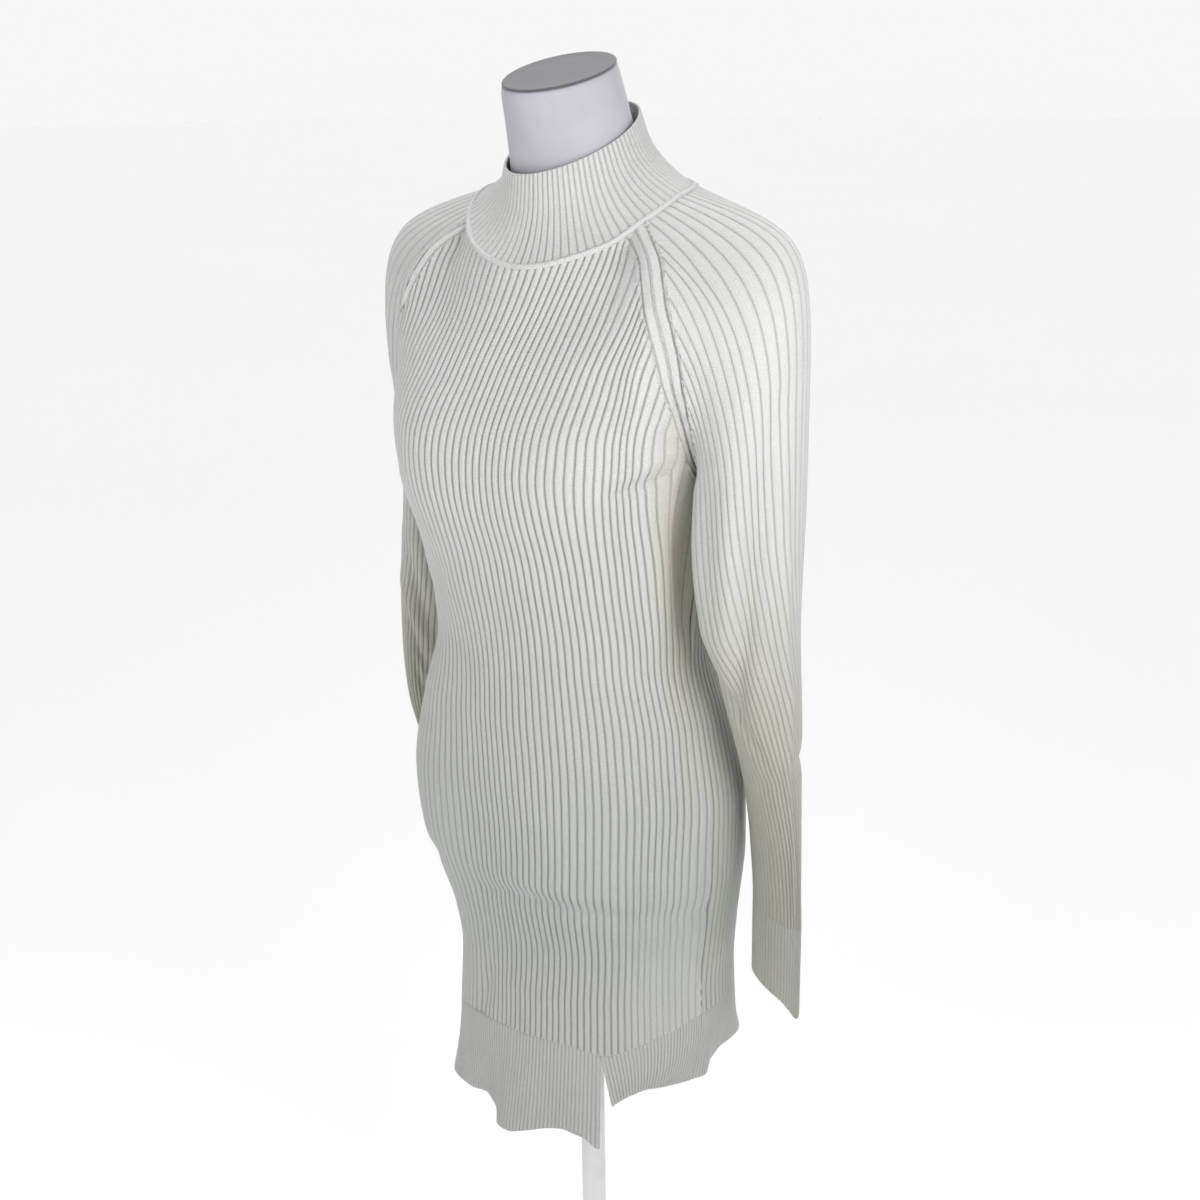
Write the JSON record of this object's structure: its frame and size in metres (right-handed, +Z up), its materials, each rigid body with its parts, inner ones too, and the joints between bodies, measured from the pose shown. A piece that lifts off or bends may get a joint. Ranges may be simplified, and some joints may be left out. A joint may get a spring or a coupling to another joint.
{
  "type": "sweater dress on a dress form",
  "caption": "Rib-knit mini dress with a mock neck, raglan long sleeves and a slit hem band, worn on a limbless cloth-covered dress form with a pole and round foot.",
  "frame": {"origin": "centre of the foot's underside, on the pole's axis", "axes": "+Z up along the pole, -Y to the front of the dress, +X to the wearer's left"},
  "size_m": [0.4757, 0.3019, 1.4871],
  "materials": {
    "knit": "off-white wide-rib wool knit",
    "form_cloth": "smooth pale lavender-grey cover",
    "cap_cloth": "flat darker grey woven cover",
    "white_paint": "satin white paint"
  },
  "bodies": {
    "root": {"front_panel": "knit", "back_panel": "knit", "sleeve_left": "knit", "sleeve_right": "knit", "cuff_left": "knit", "cuff_right": "knit", "collar": "knit", "neck_roll": "knit", "hem_front_right": "knit", "hem_front_left": "knit", "hem_back": "knit", "form_torso": "form_cloth", "form_cap": "cap_cloth", "stand_pole": "white_paint", "stand_foot": "white_paint"}
  },
  "joints": []
}
